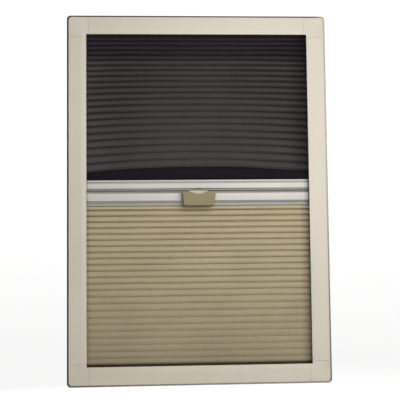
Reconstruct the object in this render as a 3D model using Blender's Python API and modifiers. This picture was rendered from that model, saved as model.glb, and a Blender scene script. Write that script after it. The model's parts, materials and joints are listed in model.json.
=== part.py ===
"""Roof window cassette with a pleated insect screen above and a pleated shade below.

X runs to the right, Z up and the front faces -Y. The origin is the centre of the whole part.
Lengths are in metres.
"""

import math

import bmesh
import bpy
from mathutils import Matrix, Vector

# Frame
FRAME_WIDTH = 0.500
FRAME_HEIGHT = 0.710
FRAME_DEPTH = 0.030
RAIL_WIDTH = 0.034
RAIL_WALL = 0.0016
WEB_WALL = 0.0012
CHAMBER_WIDTH = 0.009
BEVEL_WIDTH = 0.009
BEVEL_DROP = 0.0010
RIDGE_RADIUS = 0.014
EDGE_RADIUS = 0.0012
CORNER_LEG = 0.0395
CORNER_RADIUS = 0.0070
TENON_LENGTH = 0.020

# Fit between separate pieces, and around pieces that slide or turn
FIT = 0.0003
RUNNING = 0.0005

# Weather seal round the outside
SEAL_PROUD = 0.0034
SEAL_FRONT = 0.0035
SEAL_DEPTH = 0.0225
SEAL_LIP = 0.0008
SEAL_RETURN = 0.0120

# Corner screws
SCREW_SHANK = 0.0012
SCREW_HEAD = 0.0025
SCREW_HEAD_DEPTH = 0.0013
SCREW_LENGTH = 0.010
SCREW_SUNK = 0.0002

# Bars, measured down from the top of each
BARS_SPLIT_Z = 0.0147
BARS_GAP = 0.0006
BAR_FRONT = 0.007
BAR_BACK = 0.021
BAR_WALL = 0.0014
BAR_LAP = 0.003
SCREEN_BAR_LIP = 0.0034
SCREEN_BAR_NOTCH = 0.0026
SCREEN_BAR_FACE = 0.0110
SCREEN_BAR_GROOVE = 0.0036
SCREEN_LIP_SETBACK = 0.0035
NOTCH_SETBACK = 0.0045
GROOVE_SETBACK = 0.0040
CATCH_LIP = 0.0007
CATCH_SETBACK = 0.0010
BLIND_BAR_SLOPE = 0.0050
BLIND_BAR_FACE = 0.0140
BLIND_BAR_LOWER_SLOPE = 0.0051
BLIND_BAR_LIP = 0.0047
BLIND_TOP_SETBACK = 0.0050
BLIND_LIP_SETBACK = 0.0040
BAR_ROUNDING = 0.0006

# Slot in each bar and the strip that holds the end of the fabric in it
SLOT_FRONT = 0.0128
SLOT_WIDTH = 0.0036
SLOT_DEPTH = 0.0050

# Glides at the ends of the bars
GLIDE_TENON = 0.020
GLIDE_NECK_FRONT = 0.0090
GLIDE_NECK_DEPTH = 0.0110
SHOE_LENGTH = 0.0145
SHOE_ROUNDING = 0.002

# Tension cords, their stops above and their springs below
CORD_RADIUS = 0.0006
CORD_INSET = 0.0170
CORD_FRONT = 0.0120
CORD_SPACING = 0.0060
CORD_HOLE = 0.0013
CROSS_HOLE = 0.0011
SHELF_DROP = 0.0070
SHELF_THICKNESS = 0.0020
SHELF_HALF_LENGTH = 0.0060
STOP_RADIUS = 0.0022
STOP_HEIGHT = 0.0050
PEG_RADIUS = 0.0016
PEG_HEIGHT = 0.0060
SPRING_WIRE = 0.00035
SPRING_RADIUS = 0.0021
SPRING_LENGTH = 0.0110
SPRING_TURNS = 6
SPRING_LEAD = 0.0012

# Fabrics
FABRIC_LAP = 0.008
FABRIC_THICKNESS = 0.0004
SCREEN_PLEATS = 25
SCREEN_PITCH_GROWTH = 0.62
SCREEN_RIDGE = 0.50
SCREEN_TOP_DEPTH = 0.0062
SCREEN_FOOT_DEPTH = 0.0022
SCREEN_HEM = 0.0192
BLIND_PLEATS = 27
BLIND_PITCH_GROWTH = 0.14
BLIND_RIDGE = 0.72
BLIND_LEAD = 0.0060
BLIND_TOP_DEPTH = 0.0050
BLIND_FOOT_DEPTH = 0.0016
STRIP_THICKNESS = 0.0025
STRIP_FRONT = 0.0065
STRIP_DEPTH = 0.0160

# Pile strips behind the front lips of the side rails
PILE_WIDTH = 0.0036

# Handle, latch and their fixings
HANDLE_PROUD = 0.012
HANDLE_TOP_HALF = 0.0325
HANDLE_FOOT_HALF = 0.0290
HANDLE_TOP_DROP = 0.0022
HANDLE_FOOT_DROP = 0.0012
HANDLE_ROUNDING = 0.0050
HANDLE_TOP_ROUNDING = 0.0024
HANDLE_EDGE = 0.0016
HANDLE_WALL = 0.0022
HANDLE_BACK_WALL = 0.0040
POCKET_HALF = 0.0205
POCKET_DEPTH_Z = 0.0190
SCOOP_HALF = 0.0195
SCOOP_DEPTH = 0.0052
RIB_HALF = 0.0230
RIB_HEIGHT = 0.0010
RIB_PROUD = 0.0006
RIB_UP = 0.0055
CORE_HALF = 0.0200
CORE_MARGIN = 0.0026
HANDLE_SCREW_X = 0.0268
HANDLE_SCREW_DROP = 0.0140
HANDLE_SCREW_SHANK = 0.0011
HANDLE_SCREW_HEAD = 0.0025
HANDLE_SCREW_HEAD_HEIGHT = 0.0015
HANDLE_SCREW_LENGTH = 0.0090
SCREW_ACCESS = 0.0032
LATCH_HALF = 0.0180
LATCH_PIVOT_DROP = 0.0080
LATCH_PIVOT_SETBACK = 0.0047
LATCH_KNUCKLE = 0.0020
LATCH_PLATE_SETBACK = 0.0013
LATCH_THICKNESS = 0.0016
LATCH_TAIL = 0.0035
LATCH_NOSE = 0.0010
LATCH_NOSE_HALF = 0.0060
LATCH_REACH = 0.0016
LATCH_PAD_TOP = 0.0010
LATCH_PAD_HEIGHT = 0.0032
LATCH_PAD_REACH = 0.0012
LATCH_WINDOW_DROP = 0.0140
PIN_RADIUS = 0.0008
PIN_HALF = 0.0212
COIL_HALF = 0.0032
COIL_WIRE = 0.00025
COIL_TURNS = 4

# Places that follow from the sizes above
FACE_Y = (HANDLE_PROUD - FRAME_DEPTH) / 2
HALF_W = FRAME_WIDTH / 2
HALF_H = FRAME_HEIGHT / 2
OPEN_W = HALF_W - RAIL_WIDTH
OPEN_H = HALF_H - RAIL_WIDTH
BACK = FRAME_DEPTH
CHANNEL_X = HALF_W - CHAMBER_WIDTH
CHANNEL_Z = HALF_H - CHAMBER_WIDTH
CHAMBER_MID = (RAIL_WALL + CHAMBER_WIDTH - WEB_WALL) / 2
SCREW_AT = CORNER_LEG + TENON_LENGTH / 2
SCREEN_BAR_HEIGHT = SCREEN_BAR_LIP + SCREEN_BAR_NOTCH + SCREEN_BAR_FACE + SCREEN_BAR_GROOVE
BLIND_BAR_HEIGHT = BLIND_BAR_SLOPE + BLIND_BAR_FACE + BLIND_BAR_LOWER_SLOPE + BLIND_BAR_LIP
SCREEN_BAR_FOOT = BARS_SPLIT_Z + BARS_GAP / 2
SCREEN_BAR_TOP = SCREEN_BAR_FOOT + SCREEN_BAR_HEIGHT
BLIND_BAR_TOP = BARS_SPLIT_Z - BARS_GAP / 2
BLIND_BAR_FOOT = BLIND_BAR_TOP - BLIND_BAR_HEIGHT
BAR_HALF = OPEN_W + BAR_LAP
CORD_X = HALF_W - CORD_INSET
CORD_SETBACKS = (CORD_FRONT, CORD_FRONT + CORD_SPACING)
SHELF_Z = CHANNEL_Z - SHELF_DROP
PEG_Z = -CHANNEL_Z + PEG_HEIGHT
FABRIC_HALF = OPEN_W + FABRIC_LAP
STRIP_Z = CHANNEL_Z - FIT - STRIP_THICKNESS
SLOT_MID = SLOT_FRONT + SLOT_WIDTH / 2
SHOE_INNER = CHANNEL_X - RUNNING - SHOE_LENGTH
HANDLE_TOP = BLIND_BAR_TOP - HANDLE_TOP_DROP
HANDLE_FOOT = BLIND_BAR_FOOT - HANDLE_FOOT_DROP
HANDLE_BACK = BAR_FRONT - FIT
POCKET_BACK = HANDLE_BACK - HANDLE_BACK_WALL
POCKET_FRONT = HANDLE_WALL - HANDLE_PROUD
PIVOT_Z = BLIND_BAR_TOP - LATCH_PIVOT_DROP
PIVOT_Y = FACE_Y + LATCH_PIVOT_SETBACK

COLLECTION = "roof_window_pleated_blind"
CUTTERS = "cutters"


def clear_scene():
    for obj in list(bpy.data.objects):
        bpy.data.objects.remove(obj, do_unlink=True)
    for name in (COLLECTION, CUTTERS):
        group = bpy.data.collections.new(name)
        bpy.context.scene.collection.children.link(group)
    bpy.data.collections[CUTTERS].hide_render = True


def material(name, colour, roughness, metallic=0.0):
    made = bpy.data.materials.get(name)
    if made:
        return made
    made = bpy.data.materials.new(name)
    made.use_nodes = True
    shader = made.node_tree.nodes["Principled BSDF"]
    shader.inputs["Base Color"].default_value = (*colour, 1.0)
    shader.inputs["Roughness"].default_value = roughness
    shader.inputs["Metallic"].default_value = metallic
    made.diffuse_color = (*colour, 1.0)
    return made


def cream():
    return material("cream_paint", (0.74, 0.70, 0.60), 0.45)


def aluminium():
    return material("satin_aluminium", (0.72, 0.70, 0.66), 0.38, 0.8)


def olive():
    return material("olive_plastic", (0.30, 0.27, 0.16), 0.45)


def pale_plastic():
    return material("pale_plastic", (0.66, 0.63, 0.54), 0.5)


def dark_rubber():
    return material("dark_rubber", (0.03, 0.03, 0.032), 0.85)


def grey_plastic():
    return material("grey_plastic", (0.16, 0.16, 0.16), 0.55)


def screen_mesh():
    return material("dark_net", (0.03, 0.026, 0.03), 0.9)


def shade_fabric():
    return material("tan_fabric", (0.36, 0.31, 0.21), 0.9)


def cord_fibre():
    return material("cord_fibre", (0.55, 0.54, 0.50), 0.9)


def spring_steel():
    return material("spring_steel", (0.55, 0.55, 0.56), 0.3, 1.0)


def add(obj, look=None, cutter=False):
    """Puts an object in its collection, with its material or as a cutter."""
    bpy.data.collections[CUTTERS if cutter else COLLECTION].objects.link(obj)
    if cutter:
        obj.hide_render = True
        obj.display_type = "WIRE"
    if look:
        obj.data.materials.clear()
        obj.data.materials.append(look)
    return obj


def solid_from_curve(curve_obj, name):
    """The evaluated curve as a closed mesh object in the same place."""
    graph = bpy.context.evaluated_depsgraph_get()
    bpy.context.view_layer.update()
    graph.update()
    mesh = bpy.data.meshes.new_from_object(curve_obj.evaluated_get(graph))
    work = bmesh.new()
    work.from_mesh(mesh)
    bmesh.ops.remove_doubles(work, verts=work.verts, dist=1e-6)
    bmesh.ops.dissolve_degenerate(work, edges=work.edges, dist=1e-7)
    bmesh.ops.recalc_face_normals(work, faces=work.faces)
    work.to_mesh(mesh)
    work.free()
    place = curve_obj.matrix_world.copy()
    bpy.data.objects.remove(curve_obj, do_unlink=True)
    obj = bpy.data.objects.new(name, mesh)
    obj.matrix_world = place
    return obj


TURNS = {
    "X": Matrix(((0, 0, 1), (1, 0, 0), (0, 1, 0))),
    "Y": Matrix(((1, 0, 0), (0, 0, -1), (0, 1, 0))),
    "Z": Matrix.Identity(3),
}
UNITS = {"X": Vector((1, 0, 0)), "Y": Vector((0, 1, 0)), "Z": Vector((0, 0, 1))}


def extruded(name, loops, along, start, end, look=None, cutter=False, edge=0.0, spun=False):
    """A flat outline extruded along an axis. Its points are (y, z), (x, z) or (x, y).

    A spun one is turned half round the Y axis, which takes right to left and top to bottom.
    """
    flat = bpy.data.curves.new(name, "CURVE")
    flat.dimensions = "2D"
    flat.fill_mode = "BOTH"
    flat.extrude = abs(end - start) / 2 - edge
    if edge:
        flat.bevel_depth = edge
        flat.bevel_resolution = 1
        flat.offset = -edge
    for loop in loops:
        spline = flat.splines.new("POLY")
        spline.points.add(len(loop) - 1)
        for point, (a, b) in zip(spline.points, loop):
            point.co = (a, b, 0.0, 1.0)
        spline.use_cyclic_u = True
    obj = bpy.data.objects.new(name, flat)
    bpy.context.scene.collection.objects.link(obj)
    place = UNITS[along] * ((start + end) / 2)
    half_turn = Matrix.Rotation(math.pi if spun else 0.0, 4, "Y")
    obj.matrix_world = half_turn @ Matrix.Translation(place) @ TURNS[along].to_4x4()
    return add(solid_from_curve(obj, name), look, cutter)


def box(name, low, high, look=None, cutter=False):
    work = bmesh.new()
    bmesh.ops.create_cube(work, size=1.0)
    low, high = Vector(low), Vector(high)
    middle = (low + high) / 2
    for vert in work.verts:
        vert.co = Vector(a * b for a, b in zip(vert.co, high - low))
    mesh = bpy.data.meshes.new(name)
    work.to_mesh(mesh)
    work.free()
    obj = bpy.data.objects.new(name, mesh)
    obj.location = middle
    return add(obj, look, cutter)


def rod(name, along, middle, radius, length, look=None, cutter=False, sides=16, tip=None):
    """A cylinder, or a cone where the tip radius differs, centred on its middle."""
    work = bmesh.new()
    bmesh.ops.create_cone(
        work, cap_ends=True, segments=sides, radius1=radius,
        radius2=radius if tip is None else tip, depth=length,
    )
    mesh = bpy.data.meshes.new(name)
    work.to_mesh(mesh)
    work.free()
    mesh.shade_smooth()
    mesh.set_sharp_from_angle(angle=math.radians(40))
    obj = bpy.data.objects.new(name, mesh)
    obj.matrix_world = Matrix.Translation(middle) @ TURNS[along].to_4x4()
    return add(obj, look, cutter)


def turned(name, profile, place, look=None, steps=16, cutter=False):
    """A profile of (radius, height) turned about Z, then set in place by a matrix."""
    mesh = bpy.data.meshes.new(name)
    verts = [(radius, 0.0, height) for radius, height in profile]
    edges = [(i, i + 1) for i in range(len(verts) - 1)]
    mesh.from_pydata(verts, edges, [])
    obj = bpy.data.objects.new(name, mesh)
    obj.matrix_world = place
    screw = obj.modifiers.new("turn", "SCREW")
    screw.steps = steps
    screw.render_steps = steps
    screw.use_merge_vertices = True
    screw.merge_threshold = 1e-5
    return add(obj, look, cutter)


def wire(name, points, radius, look, resolution=2):
    """A round wire through the given points, with closed ends."""
    path = bpy.data.curves.new(name, "CURVE")
    path.dimensions = "3D"
    path.bevel_depth = radius
    path.bevel_resolution = resolution
    path.use_fill_caps = True
    spline = path.splines.new("POLY")
    spline.points.add(len(points) - 1)
    for point, place in zip(spline.points, points):
        point.co = (*place, 1.0)
    obj = bpy.data.objects.new(name, path)
    return add(obj, look)


def combine(obj, other, operation):
    """A Boolean with another object, which goes to the cutters."""
    if other.name in bpy.data.collections[COLLECTION].objects:
        bpy.data.collections[COLLECTION].objects.unlink(other)
        bpy.data.collections[CUTTERS].objects.link(other)
    other.hide_render = True
    other.display_type = "WIRE"
    step = obj.modifiers.new(other.name, "BOOLEAN")
    step.operation = operation
    step.solver = "EXACT"
    step.object = other
    return obj


def rounded(points, radii, pieces=3):
    """The closed outline with an arc of the given radius at each corner."""
    made = []
    count = len(points)
    for i, (corner, radius) in enumerate(zip(points, radii)):
        here = Vector(corner)
        if not radius:
            made.append(tuple(here))
            continue
        before = (Vector(points[i - 1]) - here)
        after = (Vector(points[(i + 1) % count]) - here)
        half = before.angle(after) / 2
        reach = radius / math.tan(half)
        reach = min(reach, 0.45 * before.length, 0.45 * after.length)
        radius = reach * math.tan(half)
        middle = here + (before.normalized() + after.normalized()).normalized() * (radius / math.sin(half))
        first = here + before.normalized() * reach - middle
        last = here + after.normalized() * reach - middle
        sweep = first.angle_signed(last)
        for k in range(pieces + 1):
            turn = -sweep * k / pieces
            spun = Matrix.Rotation(turn, 2) @ first
            made.append(tuple(middle + spun))
    return made


def ribbon(points, thickness):
    """The closed outline of a thin strip that follows the points, mitred at each fold."""
    sides = []
    for i, point in enumerate(points):
        here = Vector(point)
        before = (here - Vector(points[max(i - 1, 0)]))
        after = (Vector(points[min(i + 1, len(points) - 1)]) - here)
        before = before if before.length else after
        after = after if after.length else before
        first = Vector((-before.y, before.x)).normalized()
        second = Vector((-after.y, after.x)).normalized()
        mitre = (first + second).normalized()
        sides.append((here, mitre * (thickness / 2 / mitre.dot(first))))
    return [tuple(p + s) for p, s in sides] + [tuple(p - s) for p, s in reversed(sides)]


def rail_profile():
    """The rail's section as (inwards from the outer edge, back from the face), with its radii and chamber."""
    lip = RAIL_WIDTH - BEVEL_WIDTH
    outer = [
        (0, 0), (lip, 0), (RAIL_WIDTH, BEVEL_DROP), (RAIL_WIDTH, BEVEL_DROP + RAIL_WALL),
        (lip, RAIL_WALL), (CHAMBER_WIDTH, RAIL_WALL), (CHAMBER_WIDTH, BACK - RAIL_WALL),
        (RAIL_WIDTH, BACK - RAIL_WALL), (RAIL_WIDTH, BACK), (0, BACK),
    ]
    radii = [EDGE_RADIUS, RIDGE_RADIUS, EDGE_RADIUS / 2, 0, 0, 0, 0, 0, 0, EDGE_RADIUS]
    inside = CHAMBER_WIDTH - WEB_WALL
    chamber = [
        (RAIL_WALL, RAIL_WALL), (inside, RAIL_WALL),
        (inside, BACK - RAIL_WALL), (RAIL_WALL, BACK - RAIL_WALL),
    ]
    return outer, radii, chamber


def side_points(points, sx):
    return [(sx * (HALF_W - u), FACE_Y + v) for u, v in points]


def level_points(points, sz):
    return [(FACE_Y + v, sz * (HALF_H - u)) for u, v in points]


def corner_screw_places():
    """Where the corner screws sit: name, x, z."""
    for vertical, sz in (("top", 1), ("bottom", -1)):
        for side, sx in (("left", -1), ("right", 1)):
            yield (f"screw_{vertical}_{side}_upright", f"rail_{side}", f"corner_{vertical}_{side}",
                   sx * (HALF_W - CHAMBER_MID), sz * (HALF_H - SCREW_AT))
            yield (f"screw_{vertical}_{side}_level", f"rail_{vertical}", f"corner_{vertical}_{side}",
                   sx * (HALF_W - SCREW_AT), sz * (HALF_H - CHAMBER_MID))


def screw_hole(name, x, z):
    """A countersunk clearance hole cut from the back face."""
    clear = SCREW_SHANK + FIT
    wide = SCREW_HEAD + FIT
    sink = SCREW_HEAD_DEPTH + SCREW_SUNK
    over = 0.001
    flare = (wide - clear) / sink * over
    profile = [
        (0, over), (wide + flare, over), (clear, -sink),
        (clear, -SCREW_LENGTH - SCREW_SUNK - FIT), (0, -SCREW_LENGTH - SCREW_SUNK - FIT),
    ]
    place = Matrix.Translation((x, FACE_Y + BACK, z)) @ Matrix.Rotation(-math.pi / 2, 4, "X")
    return turned(name + "_hole", profile, place, steps=12, cutter=True)


def build_frame():
    outer, radii, chamber = rail_profile()
    section = rounded(outer, radii)
    ends_x = HALF_W - CORNER_LEG - FIT
    ends_z = HALF_H - CORNER_LEG - FIT
    pieces = {}
    upright = [side_points(section, 1), side_points(chamber, 1)]
    level = [level_points(section, 1), level_points(chamber, 1)]
    for name, spun in (("rail_right", False), ("rail_left", True)):
        pieces[name] = extruded(name, upright, "Z", -ends_z, ends_z, cream(), spun=spun)
    for name, spun in (("rail_top", False), ("rail_bottom", True)):
        pieces[name] = extruded(name, level, "X", -ends_x, ends_x, cream(), spun=spun)
    for vertical, sz in (("top", 1), ("bottom", -1)):
        for side, sx in (("left", -1), ("right", 1)):
            name = f"corner_{vertical}_{side}"
            pieces[name] = build_corner(name, sx, sz, rounded(outer, [0, RIDGE_RADIUS] + 8 * [0]))
    for name, rail, corner, x, z in corner_screw_places():
        hole = screw_hole(name, x, z)
        combine(pieces[rail], hole, "DIFFERENCE")
        combine(pieces[corner], hole, "DIFFERENCE")
        build_corner_screw(name, x, z)


def build_corner(name, sx, sz, outer):
    """A moulded corner: both rail sections run into each other, with a tenon for each rail."""
    reach_x = sorted((sx * HALF_W, sx * (HALF_W - CORNER_LEG)))
    reach_z = sorted((sz * HALF_H, sz * (HALF_H - CORNER_LEG)))
    block = extruded(name, [side_points(outer, sx)], "Z", *reach_z, cream())
    level = extruded(name + "_level", [level_points(outer, sz)], "X", *reach_x, cutter=True)
    combine(block, level, "UNION")
    past = CORNER_LEG + 0.005
    plan = [(0, 0), (past, 0), (past, past), (0, past)]
    plan = rounded(plan, [CORNER_RADIUS, 0, 0, 0], 6)
    plan = [(sx * (HALF_W - u), sz * (HALF_H - w)) for u, w in plan]
    plate = extruded(name + "_round", [plan], "Y", FACE_Y, FACE_Y + BACK, cutter=True, edge=EDGE_RADIUS)
    combine(block, plate, "INTERSECT")
    low_u, high_u = RAIL_WALL + FIT, CHAMBER_WIDTH - WEB_WALL - FIT
    low_y, high_y = FACE_Y + RAIL_WALL + FIT, FACE_Y + BACK - RAIL_WALL - FIT
    start, end = CORNER_LEG - 0.004, CORNER_LEG + TENON_LENGTH
    for label, (u0, u1), (w0, w1) in (
        ("upright", (low_u, high_u), (start, end)), ("level", (start, end), (low_u, high_u)),
    ):
        xs = sorted((sx * (HALF_W - u0), sx * (HALF_W - u1)))
        zs = sorted((sz * (HALF_H - w0), sz * (HALF_H - w1)))
        tenon = box(f"{name}_tenon_{label}", (xs[0], low_y, zs[0]), (xs[1], high_y, zs[1]), cutter=True)
        combine(block, tenon, "UNION")
    if sz > 0:
        add_cord_shelf(block, name, sx)
    else:
        add_spring_pegs(block, name, sx)
    return block


def add_cord_shelf(block, name, sx):
    """A shelf that the stops on the cord ends pull against."""
    xs = sorted((sx * (CORD_X - SHELF_HALF_LENGTH), sx * (CHANNEL_X + 0.001)))
    shelf = box(
        name + "_shelf",
        (xs[0], FACE_Y + CORD_FRONT - STOP_RADIUS - 0.001, SHELF_Z - SHELF_THICKNESS),
        (xs[1], FACE_Y + BACK - RAIL_WALL / 2, SHELF_Z), cutter=True,
    )
    combine(block, shelf, "UNION")
    for setback in CORD_SETBACKS:
        hole = rod(
            f"{name}_cord_hole", "Z", (sx * CORD_X, FACE_Y + setback, SHELF_Z - SHELF_THICKNESS / 2),
            CORD_HOLE, SHELF_THICKNESS * 2, cutter=True, sides=12,
        )
        combine(block, hole, "DIFFERENCE")


def add_spring_pegs(block, name, sx):
    """One peg that both springs hook round, standing forward from the back wall."""
    front = CORD_FRONT - 2 * SPRING_WIRE
    back = BACK - RAIL_WALL / 2
    peg = rod(
        name + "_peg", "Y", (sx * CORD_X, FACE_Y + (front + back) / 2, PEG_Z),
        PEG_RADIUS, back - front, cutter=True, sides=12,
    )
    combine(block, peg, "UNION")


def build_corner_screw(name, x, z):
    head = SCREW_HEAD_DEPTH
    profile = [
        (0, 0), (SCREW_HEAD, 0), (SCREW_SHANK, -head),
        (SCREW_SHANK, -SCREW_LENGTH + SCREW_SHANK), (0, -SCREW_LENGTH),
    ]
    # Turned about Z and then laid over so that the head faces the back
    place = Matrix.Translation((x, FACE_Y + BACK - SCREW_SUNK, z)) @ Matrix.Rotation(-math.pi / 2, 4, "X")
    screw = turned(name, profile, place, spring_steel(), 12)
    slot = 0.0005
    for label, half_x, half_z in (("a", SCREW_HEAD * 0.6, slot / 2), ("b", slot / 2, SCREW_HEAD * 0.6)):
        cross = box(
            f"{name}_recess_{label}",
            (x - half_x, FACE_Y + BACK - SCREW_SUNK - 0.0007, z - half_z),
            (x + half_x, FACE_Y + BACK + 0.001, z + half_z), cutter=True,
        )
        combine(screw, cross, "DIFFERENCE")
    return screw


def seal_length(name, plan):
    front = FACE_Y + SEAL_FRONT
    extruded(name, [plan], "Y", front, front + SEAL_DEPTH, dark_rubber(), edge=SEAL_LIP)


def build_seals():
    """A soft strip round the outside of the frame: two lengths that turn the corners and two straight ones."""
    end = HALF_H - SEAL_RETURN

    def hook(outside, sx):
        x, z = sx * (HALF_W + outside), HALF_H + outside
        return [(x, end), (x, z), (-x, z), (-x, end)]

    corners = hook(SEAL_PROUD, -1) + hook(FIT, 1)
    wide, tight = CORNER_RADIUS + SEAL_PROUD, CORNER_RADIUS + FIT
    plan = rounded(corners, [0, wide, wide, 0, 0, tight, tight, 0], 6)
    for side, sz in (("top", 1), ("bottom", -1)):
        seal_length(f"seal_{side}", [(x, sz * z) for x, z in plan])
    reach = end - FIT
    for side, sx in (("left", -1), ("right", 1)):
        near, far = sx * (HALF_W + FIT), sx * (HALF_W + SEAL_PROUD)
        seal_length(f"seal_{side}", [(near, -reach), (far, -reach), (far, reach), (near, reach)])


def pleat_levels(top, bottom, count, growth):
    """Heights of the folds from the top down, where the pitch grows by the given share."""
    shares = [1 + growth * (k / (count - 1) - 0.5) for k in range(count)]
    scale = (top - bottom) / sum(shares)
    levels = [top]
    for share in shares:
        levels.append(levels[-1] - share * scale)
    return levels


def pleated(name, levels, ridge, top_depth, foot_depth, hem, look):
    """A sheet folded to the front and the back of its slots, less deeply towards the foot.

    A fold comes forward the ridge share of the way down each pleat. A hem is the list of the points below the last.
    """
    points = [(levels[0], SLOT_MID)]
    for k, (above, below) in enumerate(zip(levels, levels[1:])):
        depth = top_depth + (foot_depth - top_depth) * k / (len(levels) - 2)
        points.append((above + (below - above) * ridge, SLOT_MID - depth / 2))
        points.append((below, SLOT_MID + depth / 2))
    if not hem:
        points[-1] = (levels[-1], SLOT_MID)
    outline = ribbon([(FACE_Y + v, z) for z, v in points + hem], FABRIC_THICKNESS)
    return extruded(name, [outline], "X", -FABRIC_HALF, FABRIC_HALF, look)


def build_fabrics():
    top = STRIP_Z - FIT
    bar_top = SCREEN_BAR_TOP + FIT
    levels = pleat_levels(top, SCREEN_BAR_TOP + SCREEN_HEM, SCREEN_PLEATS, SCREEN_PITCH_GROWTH)
    pleated(
        "screen_fabric", levels, SCREEN_RIDGE, SCREEN_TOP_DEPTH, SCREEN_FOOT_DEPTH,
        [(bar_top, SLOT_MID)], screen_mesh(),
    )
    start = BLIND_BAR_FOOT - FIT
    levels = pleat_levels(start - BLIND_LEAD, -top, BLIND_PLEATS, BLIND_PITCH_GROWTH)
    pleated(
        "blind_fabric", [start] + levels, BLIND_RIDGE, BLIND_TOP_DEPTH, BLIND_FOOT_DEPTH, [],
        shade_fabric(),
    )
    for name, sz in (("screen_head_strip", 1), ("blind_foot_strip", -1)):
        zs = sorted((sz * STRIP_Z, sz * (STRIP_Z + STRIP_THICKNESS)))
        box(
            name, (-FABRIC_HALF, FACE_Y + STRIP_FRONT, zs[0]),
            (FABRIC_HALF, FACE_Y + STRIP_FRONT + STRIP_DEPTH, zs[1]), grey_plastic(),
        )
    for name, foot, height in (
        ("screen_fabric_strip", SCREEN_BAR_TOP - SLOT_DEPTH, 1), ("blind_fabric_strip", BLIND_BAR_FOOT, -1),
    ):
        low = foot + (FIT if height > 0 else 0)
        box(
            name, (-BAR_HALF + 0.001, FACE_Y + SLOT_FRONT + FIT, low),
            (BAR_HALF - 0.001, FACE_Y + SLOT_FRONT + SLOT_WIDTH - FIT, low + SLOT_DEPTH - FIT), grey_plastic(),
        )


def build_pile_strips():
    slope = BEVEL_DROP / BEVEL_WIDTH
    front = BEVEL_DROP + RAIL_WALL + FIT
    points = [
        (RAIL_WIDTH - PILE_WIDTH, front - slope * PILE_WIDTH), (RAIL_WIDTH, front),
        (RAIL_WIDTH, BAR_FRONT - FIT), (RAIL_WIDTH - PILE_WIDTH, BAR_FRONT - FIT),
    ]
    end = OPEN_H - FIT
    for side, sx in (("left", -1), ("right", 1)):
        extruded(f"pile_strip_{side}", [side_points(points, sx)], "Z", -end, end, grey_plastic())


def screen_bar_outline():
    """Section of the upper bar as (back from the face, down from its top)."""
    lip = BAR_FRONT + SCREEN_LIP_SETBACK
    notch = BAR_FRONT + NOTCH_SETBACK
    groove = BAR_FRONT + GROOVE_SETBACK
    catch = BAR_FRONT + CATCH_SETBACK
    a = SCREEN_BAR_LIP
    b = a + SCREEN_BAR_NOTCH
    c = b + SCREEN_BAR_FACE
    d = SCREEN_BAR_HEIGHT
    points = [
        (lip, 0), (lip, a), (notch, a), (notch, b), (BAR_FRONT, b), (BAR_FRONT, c),
        (groove, c), (groove, d - CATCH_LIP), (catch, d - CATCH_LIP), (catch, d), (BAR_BACK, d), (BAR_BACK, 0),
        (SLOT_FRONT + SLOT_WIDTH, 0), (SLOT_FRONT + SLOT_WIDTH, SLOT_DEPTH),
        (SLOT_FRONT, SLOT_DEPTH), (SLOT_FRONT, 0),
    ]
    r = BAR_ROUNDING
    radii = [r, r, 0, 0, r, r, 0, 0, 0, 0, r, r, 0, 0, 0, 0]
    top = max(SLOT_DEPTH, b) + BAR_WALL
    hollow = [
        (BAR_FRONT + BAR_WALL, top), (BAR_BACK - BAR_WALL, top),
        (BAR_BACK - BAR_WALL, d - BAR_WALL), (groove + BAR_WALL, d - BAR_WALL),
        (groove + BAR_WALL, c - BAR_WALL), (BAR_FRONT + BAR_WALL, c - BAR_WALL),
    ]
    return points, radii, hollow, (top, c - BAR_WALL)


def blind_bar_outline():
    """Section of the lower bar as (back from the face, down from its top)."""
    a = BLIND_BAR_SLOPE
    b = a + BLIND_BAR_FACE
    c = b + BLIND_BAR_LOWER_SLOPE
    d = BLIND_BAR_HEIGHT
    top = BAR_FRONT + BLIND_TOP_SETBACK
    lip = BAR_FRONT + BLIND_LIP_SETBACK
    points = [
        (top, 0), (BAR_FRONT, a), (BAR_FRONT, b), (lip, c), (lip, d - 0.0006), (lip + 0.0006, d),
        (SLOT_FRONT, d), (SLOT_FRONT, d - SLOT_DEPTH), (SLOT_FRONT + SLOT_WIDTH, d - SLOT_DEPTH),
        (SLOT_FRONT + SLOT_WIDTH, d), (BAR_BACK, d), (BAR_BACK, 0),
    ]
    r = BAR_ROUNDING
    radii = [r, r, r, r, 0, 0, 0, 0, 0, 0, r, r]
    w = BAR_WALL
    foot = d - SLOT_DEPTH - w
    inner_lip = BAR_FRONT + w + BLIND_LIP_SETBACK * (foot - b) / BLIND_BAR_LOWER_SLOPE
    hollow = [
        (top + w, w), (BAR_BACK - w, w), (BAR_BACK - w, foot), (inner_lip + w / 2, foot),
        (BAR_FRONT + w, b - w / 2), (BAR_FRONT + w, a + w / 2),
    ]
    return points, radii, hollow, (a + w, b - w)


def build_bar(name, top, outline):
    points, radii, hollow, _ = outline
    section = [(FACE_Y + v, top - drop) for v, drop in rounded(points, radii, 2)]
    hole = [(FACE_Y + v, top - drop) for v, drop in hollow]
    return extruded(name, [section, hole], "X", -BAR_HALF, BAR_HALF, aluminium())


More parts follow.
